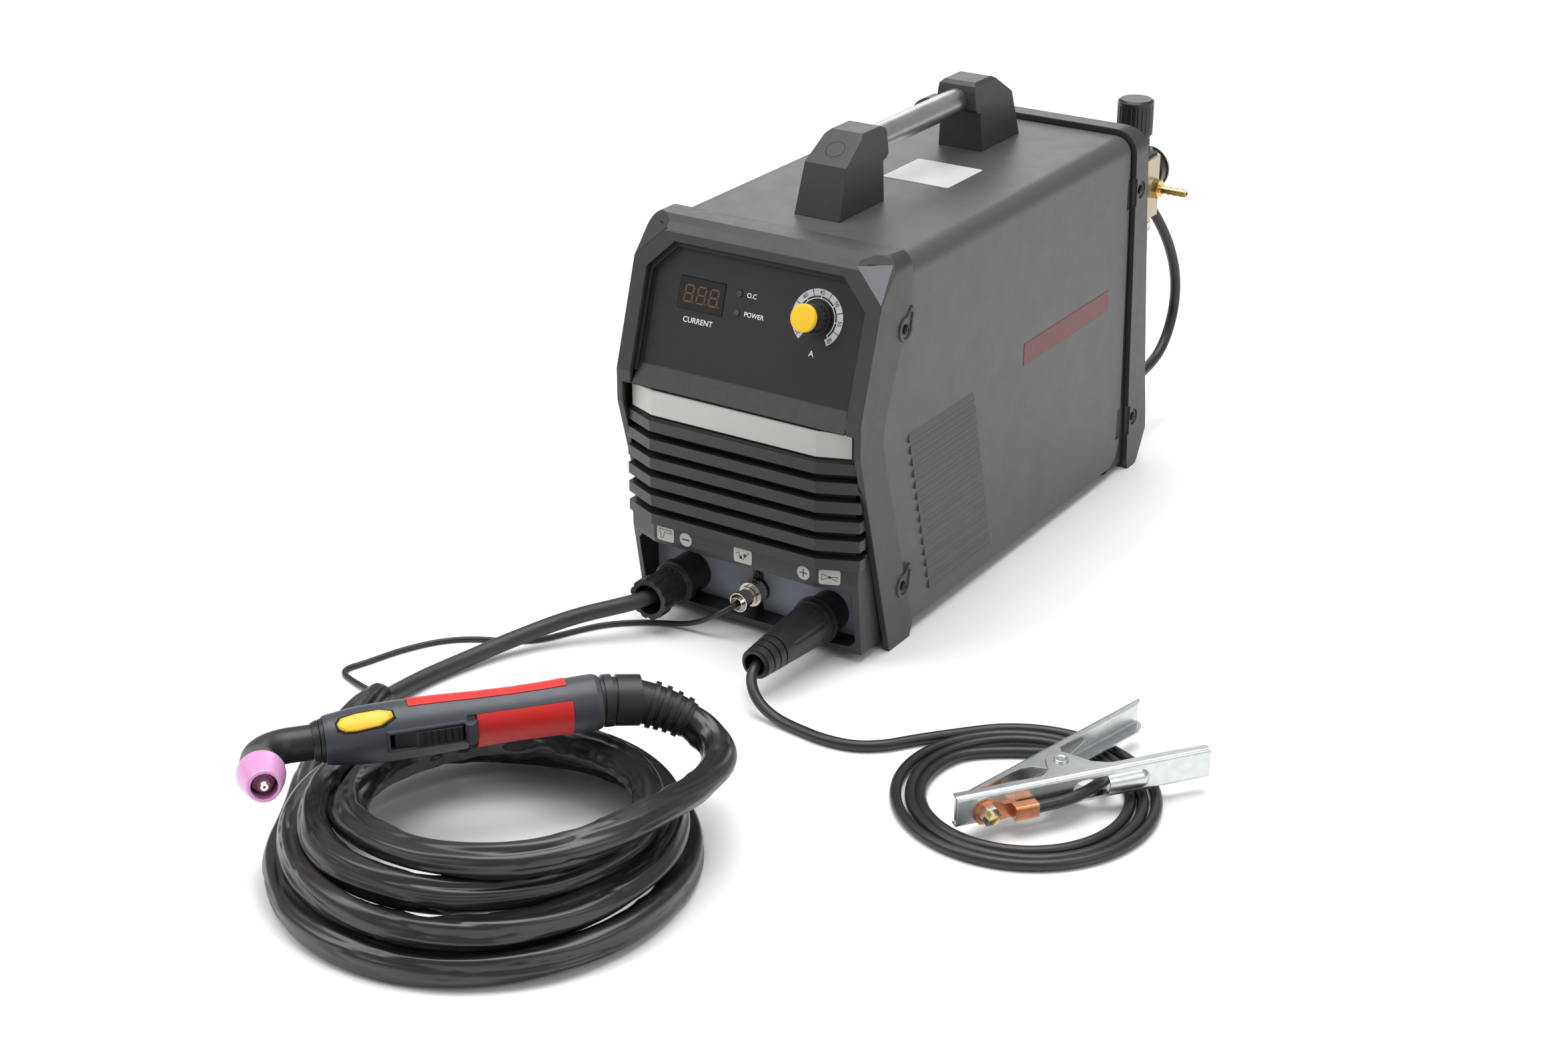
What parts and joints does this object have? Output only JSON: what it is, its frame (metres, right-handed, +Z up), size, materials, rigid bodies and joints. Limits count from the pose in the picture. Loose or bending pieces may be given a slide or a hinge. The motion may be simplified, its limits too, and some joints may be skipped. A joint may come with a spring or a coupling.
{
  "type": "plasma cutter",
  "caption": "Inverter plasma cutter with a carrying handle, torch on a sleeved lead, earth lead with a spring clamp, and a rear air filter regulator.",
  "frame": {"origin": "on the floor under the middle of the case, between the front and rear bezels", "axes": "+X to the right side of the case seen from the front, -Y out of the front, +Z up"},
  "size_m": [0.6462, 1.1866, 0.3825],
  "materials": {
    "bezel_plastic": "fine texture, satin",
    "grille_plastic": "fine texture",
    "plate_plastic": "satin",
    "panel_plastic": "matte",
    "silver_trim": "pearl silver",
    "window": "gloss",
    "lens": "gloss",
    "board": "solder mask",
    "black_plastic": "satin",
    "cover_paint": "powder coat",
    "black_paint": "powder coat",
    "zinc_steel": "zinc plated",
    "tube_steel": "satin",
    "brass": "machined",
    "nickel": "nickel plated",
    "black_rubber": "matte",
    "champagne": "painted die casting",
    "clear_bowl": "clear",
    "heat_alu": "extruded",
    "core": "varnished",
    "torch_plastic": "satin",
    "red_rubber": "soft touch",
    "pink_ceramic": "smooth",
    "sleeve": "creased leatherette",
    "copper": "bare copper",
    "yellow_zinc": "yellow zinc plated"
  },
  "bodies": {
    "unit": {"front_bezel": "bezel_plastic", "front_grille": "grille_plastic", "connector_plate": "plate_plastic", "trim_strip": "silver_trim", "control_panel": "panel_plastic", "display_window": "window", "indicator_lenses": "lens", "control_board": "board", "case_cover": "cover_paint", "base_plate": "black_paint", "rear_panel": "black_paint", "rear_bezel": "bezel_plastic", "case_screws": "zinc_steel", "handle_blocks": "bezel_plastic", "handle_tube": "tube_steel", "lead_sockets": "black_plastic", "trigger_socket": "nickel", "torch_plug": "black_plastic", "torch_plug_gland": "brass", "trigger_plug": "nickel", "earth_plug": "black_rubber", "power_switch_body": "black_plastic", "mains_gland": "black_plastic", "fan_frame": "black_plastic", "solenoid_valve": "brass", "air_hose_fittings": "brass", "regulator_body": "champagne", "regulator_bonnet": "black_plastic", "regulator_bracket": "black_paint", "regulator_bowl": "clear_bowl", "pressure_gauge": "black_paint", "air_inlet_barb": "brass", "air_hose": "black_rubber", "power_board": "board", "heatsinks": "heat_alu", "transformer": "core", "torch_handle": "torch_plastic", "torch_grips": "red_rubber", "torch_head": "black_rubber", "torch_shield_cup": "pink_ceramic", "torch_nozzle": "nickel", "torch_bend_relief": "black_rubber", "torch_hose": "black_rubber", "torch_lead": "sleeve", "torch_lead_coil": "sleeve", "trigger_cable": "black_rubber", "earth_cable": "black_rubber", "earth_cable_coil": "black_rubber", "clamp_lower_arm": "zinc_steel", "clamp_lower_shoe": "copper", "clamp_lug": "copper", "clamp_bolt": "yellow_zinc"},
    "current_knob": {"current_knob": "black_plastic"},
    "regulator_knob": {"regulator_knob": "black_plastic"},
    "power_rocker": {"power_rocker": "black_plastic"},
    "fan_rotor": {"fan_rotor": "black_plastic"},
    "torch_trigger": {"torch_trigger": "black_plastic"},
    "clamp_upper": {"clamp_upper_arm": "zinc_steel", "clamp_upper_shoe": "copper", "clamp_spring": "zinc_steel"}
  },
  "joints": [
    {"name": "current_knob_turn", "type": "hinge", "parent": "unit", "child": "current_knob", "pos_m": [0.055, -0.23482, 0.2795], "axis": [0, -0.9522, 0.3056], "range_deg": [-270, 0]},
    {"name": "regulator_knob_turn", "type": "hinge", "parent": "unit", "child": "regulator_knob", "pos_m": [0.077, 0.277, 0.315], "axis": [0, 0, 1], "range_deg": [-1080, 0]},
    {"name": "power_rocker_tip", "type": "hinge", "parent": "unit", "child": "power_rocker", "pos_m": [-0.08, 0.2205, 0.061], "axis": [1, 0, 0], "range_deg": [0, 24]},
    {"name": "fan_rotor_spin", "type": "hinge", "parent": "unit", "child": "fan_rotor", "pos_m": [-0.04, 0.209, 0.19], "axis": [0, 1, 0], "continuous": true},
    {"name": "torch_trigger_press", "type": "hinge", "parent": "unit", "child": "torch_trigger", "pos_m": [-0.0243, -0.63785, 0.08581], "axis": [-0.1057, 0.0906, 0.9903], "range_deg": [0, 5], "stiffness_Nm_per_rad": 0.2, "springref_deg": -20.05},
    {"name": "clamp_open", "type": "hinge", "parent": "unit", "child": "clamp_upper", "pos_m": [0.33292, -0.34141, 0.0233], "axis": [0, 0, -1], "range_deg": [0, 18], "stiffness_Nm_per_rad": 1.2, "springref_deg": -34.38}
  ]
}
